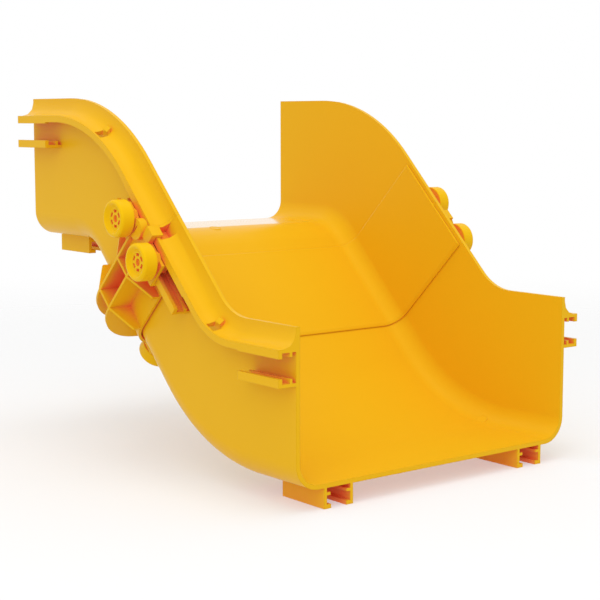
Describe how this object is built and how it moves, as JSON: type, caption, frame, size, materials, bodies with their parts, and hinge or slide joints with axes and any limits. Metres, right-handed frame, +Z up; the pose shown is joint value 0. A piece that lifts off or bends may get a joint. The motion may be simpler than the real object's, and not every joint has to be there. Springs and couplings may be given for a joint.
{
  "type": "fibre raceway fitting",
  "caption": "Open U-section trough that steps down through two 45 degree bends, joined on the slope by a ribbed coupler sleeve with quarter-turn locking knobs.",
  "frame": {"origin": "middle of the underside of the floor at the low end face of the trough", "axes": "+Y along the level runs from the low end to the high end, +Z up, +X to the right"},
  "size_m": [0.308, 0.3298, 0.2608],
  "materials": {
    "trough": "satin moulded",
    "coupler": "satin moulded",
    "knob": "satin moulded",
    "cam": "satin moulded"
  },
  "bodies": {
    "raceway": {"lower_bend": "trough", "upper_bend": "trough", "coupler_body": "coupler"},
    "left_wall_lower_lock": {"left_wall_lower_knob": "knob", "left_wall_lower_cam": "cam"},
    "left_wall_upper_lock": {"left_wall_upper_knob": "knob", "left_wall_upper_cam": "cam"},
    "left_floor_lower_lock": {"left_floor_lower_knob": "knob", "left_floor_lower_cam": "cam"},
    "left_floor_upper_lock": {"left_floor_upper_knob": "knob", "left_floor_upper_cam": "cam"},
    "right_wall_lower_lock": {"right_wall_lower_knob": "knob", "right_wall_lower_cam": "cam"},
    "right_wall_upper_lock": {"right_wall_upper_knob": "knob", "right_wall_upper_cam": "cam"},
    "right_floor_lower_lock": {"right_floor_lower_knob": "knob", "right_floor_lower_cam": "cam"},
    "right_floor_upper_lock": {"right_floor_upper_knob": "knob", "right_floor_upper_cam": "cam"}
  },
  "joints": [
    {"name": "left_wall_lower_turn", "type": "hinge", "parent": "raceway", "child": "left_wall_lower_lock", "pos_m": [-0.123, 0.13576, 0.13634], "axis": [-1, 0, 0], "range_deg": [0, 90]},
    {"name": "left_wall_upper_turn", "type": "hinge", "parent": "raceway", "child": "left_wall_upper_lock", "pos_m": [-0.123, 0.16369, 0.16427], "axis": [-1, 0, 0], "range_deg": [0, 90]},
    {"name": "left_floor_lower_turn", "type": "hinge", "parent": "raceway", "child": "left_floor_lower_lock", "pos_m": [-0.0884, 0.19233, 0.07977], "axis": [0, 0.7071, -0.7071], "range_deg": [0, 90]},
    {"name": "left_floor_upper_turn", "type": "hinge", "parent": "raceway", "child": "left_floor_upper_lock", "pos_m": [-0.0884, 0.22026, 0.1077], "axis": [0, 0.7071, -0.7071], "range_deg": [0, 90]},
    {"name": "right_wall_lower_turn", "type": "hinge", "parent": "raceway", "child": "right_wall_lower_lock", "pos_m": [0.123, 0.13576, 0.13634], "axis": [1, 0, 0], "range_deg": [0, 90]},
    {"name": "right_wall_upper_turn", "type": "hinge", "parent": "raceway", "child": "right_wall_upper_lock", "pos_m": [0.123, 0.16369, 0.16427], "axis": [1, 0, 0], "range_deg": [0, 90]},
    {"name": "right_floor_lower_turn", "type": "hinge", "parent": "raceway", "child": "right_floor_lower_lock", "pos_m": [0.0884, 0.19233, 0.07977], "axis": [0, 0.7071, -0.7071], "range_deg": [0, 90]},
    {"name": "right_floor_upper_turn", "type": "hinge", "parent": "raceway", "child": "right_floor_upper_lock", "pos_m": [0.0884, 0.22026, 0.1077], "axis": [0, 0.7071, -0.7071], "range_deg": [0, 90]}
  ]
}
